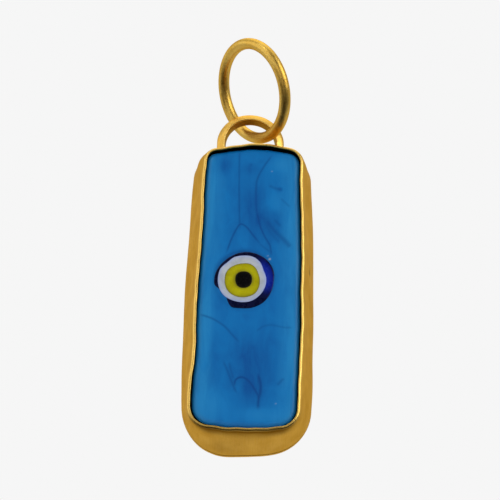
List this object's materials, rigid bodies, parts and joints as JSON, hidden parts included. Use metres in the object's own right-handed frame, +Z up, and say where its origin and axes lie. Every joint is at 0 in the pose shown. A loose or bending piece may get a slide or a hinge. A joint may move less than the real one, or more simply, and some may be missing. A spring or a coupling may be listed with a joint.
{
  "type": "evil eye ornament",
  "caption": "Blue glass bar with a fused glass eye, set in a flared gold bezel cup with a soldered bail, hanging on a round-wire jump ring.",
  "frame": {"origin": "the chain seat: the highest point of the jump ring's inner edge, where a chain or cord carries the pendant", "axes": "+Z up along the pendant's length; the glass and its eye face -Y; +X is to the right seen from the front"},
  "size_m": [0.0127, 0.01, 0.043],
  "materials": {
    "ring_gold": "gold-plated brass wire, satin, fine lengthwise draw marks",
    "bezel_gold": "gold-plated brass sheet, satin brushed, burnished bright along the lip",
    "solder": "gold-plated solder, slightly duller and pitted",
    "cement": "matt setting cement, out of sight under the glass",
    "blue_glass": "opaque turquoise-blue glass with darker wisps, satin face",
    "cobalt_glass": "dark cobalt glass, fused flush",
    "white_glass": "opaque cool white glass, fused flush",
    "yellow_glass": "opaque green-tinged yellow glass, fused flush",
    "black_glass": "black glass, fused flush"
  },
  "bodies": {
    "ring": {"jump_ring": "ring_gold"},
    "pendant": {"bail_loop": "bezel_gold", "bail_solder_left": "solder", "bail_solder_right": "solder", "bezel_wall": "bezel_gold", "back_plate": "bezel_gold", "back_seam_solder": "solder", "setting_bed": "cement", "glass_bar": "blue_glass", "eye_blue_dot": "cobalt_glass", "eye_white_dot": "white_glass", "eye_yellow_dot": "yellow_glass", "eye_pupil_dot": "black_glass"}
  },
  "joints": [
    {"name": "pendant_swing", "type": "hinge", "parent": "ring", "child": "pendant", "pos_m": [0.00154, 0.00369, -0.00617], "axis": [1, 0, 0], "range_deg": [-12, 95]}
  ]
}
